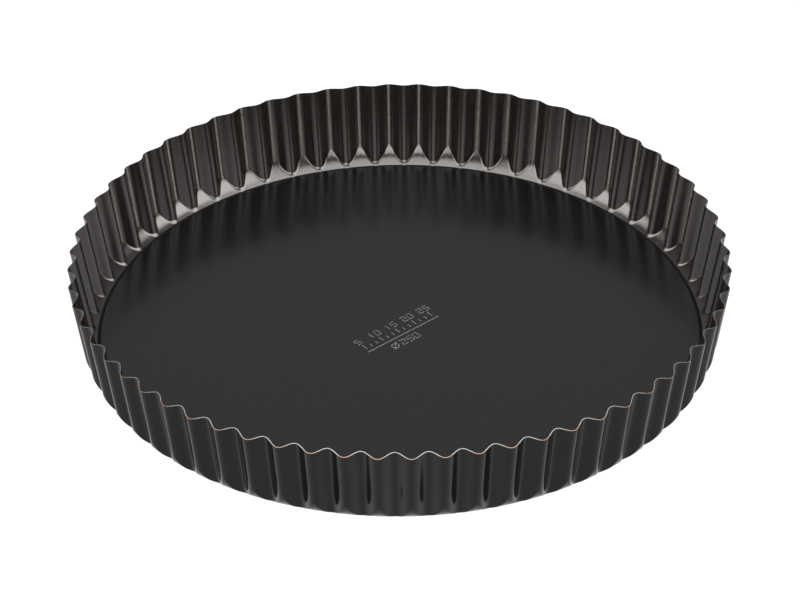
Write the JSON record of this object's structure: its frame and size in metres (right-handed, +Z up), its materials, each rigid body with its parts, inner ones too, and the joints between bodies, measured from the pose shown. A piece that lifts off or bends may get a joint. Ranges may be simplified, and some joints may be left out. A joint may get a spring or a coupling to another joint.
{
  "type": "tart pan",
  "caption": "Round fluted tart pan of dark coated sheet steel: an open ring with a pleated, outward-leaning wall and an inward lip, and a flat loose base that lifts out upwards.",
  "frame": {"origin": "on the pan's axis, in the plane that the pan stands on", "axes": "+Z up along the pan's axis, out of its mouth; +X through the middle of an outward wave of the wall"},
  "size_m": [0.2562, 0.2562, 0.0358],
  "materials": {
    "coated_steel_ring": "satin dark non-stick coating",
    "coated_steel_base": "satin dark non-stick coating, fine texture"
  },
  "bodies": {
    "ring": {"fluted_ring": "coated_steel_ring"},
    "base": {"loose_base": "coated_steel_base"}
  },
  "joints": [
    {"name": "base_lift", "type": "slide", "parent": "ring", "child": "base", "axis": [0, 0, 1], "range_m": [0, 0.06]}
  ]
}
